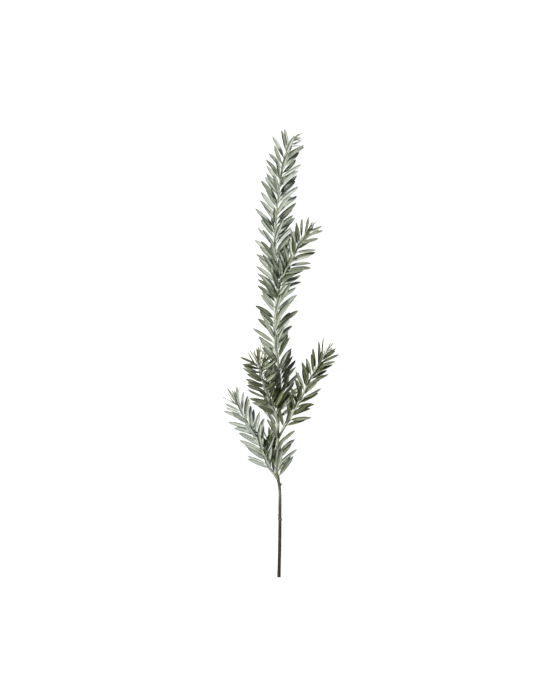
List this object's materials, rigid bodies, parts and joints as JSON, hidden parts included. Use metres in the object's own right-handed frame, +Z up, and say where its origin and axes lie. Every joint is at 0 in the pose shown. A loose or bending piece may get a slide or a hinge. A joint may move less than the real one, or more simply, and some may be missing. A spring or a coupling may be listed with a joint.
{
  "type": "pine branch",
  "caption": "Cut evergreen branch lying flat: a slender forked stem with five side shoots, flat pointed leaves along every leafy length and a tuft of young needles on each tip.",
  "frame": {"origin": "middle of the branch's footprint, on the surface that it lies on", "axes": "+Y from the cut end towards the growing tip, +Z up from the surface, +X to the right seen from above with the tip pointing away"},
  "size_m": [0.18, 0.6978, 0.0928],
  "materials": {
    "old_bark": "thin dry brown bark, slightly rough, with faint lengthwise ridges and a paler ring",
    "green_bark": "young grey-green bark, smooth between the raised leaf bases",
    "leaf": "dull leathery grey-green leaf, folded along a paler midrib, with a faint whitish bloom",
    "young_needle": "fine young needles, olive green, darker than the leaves"
  },
  "bodies": {
    "root": {"stem_base": "old_bark", "stem_lower": "green_bark", "stem_fork": "green_bark", "stem_middle": "green_bark", "stem_top": "green_bark", "low_left_shoot": "green_bark", "short_shoot": "green_bark", "low_right_shoot": "green_bark", "mid_left_shoot": "green_bark", "high_right_shoot": "green_bark", "leaves_high_right_shoot_left": "leaf", "leaves_high_right_shoot_right": "leaf", "leaves_high_right_shoot_top_left": "leaf", "leaves_high_right_shoot_top_right": "leaf", "leaves_high_right_shoot_under_left": "leaf", "leaves_high_right_shoot_under_right": "leaf", "leaves_low_left_shoot_left": "leaf", "leaves_low_left_shoot_right": "leaf", "leaves_low_left_shoot_top_left": "leaf", "leaves_low_left_shoot_top_right": "leaf", "leaves_low_left_shoot_under_left": "leaf", "leaves_low_left_shoot_under_right": "leaf", "leaves_low_right_shoot_left": "leaf", "leaves_low_right_shoot_right": "leaf", "leaves_low_right_shoot_top_left": "leaf", "leaves_low_right_shoot_top_right": "leaf", "leaves_low_right_shoot_under_left": "leaf", "leaves_low_right_shoot_under_right": "leaf", "leaves_mid_left_shoot_left": "leaf", "leaves_mid_left_shoot_right": "leaf", "leaves_mid_left_shoot_top_left": "leaf", "leaves_mid_left_shoot_top_right": "leaf", "leaves_mid_left_shoot_under_left": "leaf", "leaves_mid_left_shoot_under_right": "leaf", "leaves_short_shoot_left": "leaf", "leaves_short_shoot_right": "leaf", "leaves_stem_lower_right": "leaf", "leaves_stem_lower_top_right": "leaf", "leaves_stem_lower_under_right": "leaf", "leaves_stem_middle_left": "leaf", "leaves_stem_middle_right": "leaf", "leaves_stem_middle_top_left": "leaf", "leaves_stem_middle_top_right": "leaf", "leaves_stem_middle_under_left": "leaf", "leaves_stem_middle_under_right": "leaf", "leaves_stem_top_left": "leaf", "leaves_stem_top_right": "leaf", "leaves_stem_top_top_left": "leaf", "leaves_stem_top_top_right": "leaf", "leaves_stem_top_under_left": "leaf", "leaves_stem_top_under_right": "leaf", "tip_needles_high_right_shoot": "young_needle", "tip_needles_low_left_shoot": "young_needle", "tip_needles_low_right_shoot": "young_needle", "tip_needles_main_stem": "young_needle", "tip_needles_mid_left_shoot": "young_needle", "tip_needles_short_shoot": "young_needle"}
  },
  "joints": []
}
